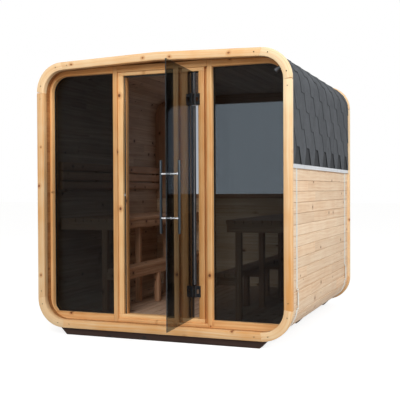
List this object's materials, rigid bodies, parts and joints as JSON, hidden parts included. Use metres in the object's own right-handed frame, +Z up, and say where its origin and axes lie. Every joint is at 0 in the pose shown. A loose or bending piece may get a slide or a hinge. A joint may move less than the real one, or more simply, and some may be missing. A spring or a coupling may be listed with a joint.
{
  "type": "outdoor sauna cabin",
  "caption": "Rounded square outdoor sauna cabin with a shingled roof, a glass front with an outward-opening glass door, a rear window and benches inside.",
  "frame": {"origin": "on the ground under the middle of the cabin, in the underside of the middle cross beam", "axes": "+Z up, +Y from the glass front to the rear, +X to the right seen from the front"},
  "size_m": [2.216, 2.9879, 2.31],
  "materials": {
    "ring_timber": "planed and oiled softwood with knots",
    "wall_boards": "planed softwood boards",
    "frame_timber": "planed and oiled softwood",
    "inner_timber": "planed softwood",
    "beam_timber": "dark stained timber",
    "shingle_felt": "mineral-surfaced bitumen shingle",
    "drip_metal": "folded sheet",
    "band_steel": "satin",
    "window_glass": "grey tinted toughened glass",
    "door_glass": "grey tinted toughened glass",
    "black_metal": "black satin",
    "handle_metal": "dark satin",
    "lamp_metal": "dark grey",
    "catch_plastic": "pale grey"
  },
  "bodies": {
    "cabin": {"front_ring_rails": "ring_timber", "front_ring_sides": "ring_timber", "front_ring_corners": "ring_timber", "rear_ring_rails": "ring_timber", "rear_ring_sides": "ring_timber", "rear_ring_corners": "ring_timber", "left_wall": "wall_boards", "right_wall": "wall_boards", "roof_deck": "wall_boards", "bottom_deck": "wall_boards", "corner_boards": "wall_boards", "shingles": "shingle_felt", "drip_strips": "drip_metal", "tension_bands": "band_steel", "turnbuckles": "band_steel", "base_beams": "beam_timber", "front_window_jambs": "frame_timber", "front_window_rails": "frame_timber", "front_posts": "frame_timber", "front_windows": "window_glass", "door_transom": "frame_timber", "door_frame_head": "frame_timber", "door_frame_jambs": "frame_timber", "door_sill": "frame_timber", "door_stops": "frame_timber", "door_catch": "catch_plastic", "hinge_brackets": "black_metal", "corner_spotlight": "lamp_metal", "rear_wall": "wall_boards", "rear_window_sill": "frame_timber", "rear_window_jambs": "frame_timber", "rear_window_head": "frame_timber", "rear_window": "window_glass", "floor_boards": "inner_timber", "floor_battens": "inner_timber", "bench_slats": "inner_timber", "bench_fascias": "inner_timber", "bench_rails": "inner_timber", "bench_posts": "inner_timber", "backrest_slats": "inner_timber", "backrest_battens": "inner_timber"},
    "door": {"door_glass": "door_glass", "door_hinges": "black_metal", "outer_handle": "handle_metal", "inner_handle": "handle_metal"}
  },
  "joints": [
    {"name": "door_hinge", "type": "hinge", "parent": "cabin", "child": "door", "pos_m": [0.295, -1.125, 0], "axis": [0, 0, 1], "range_deg": [-94.6, 5]}
  ]
}
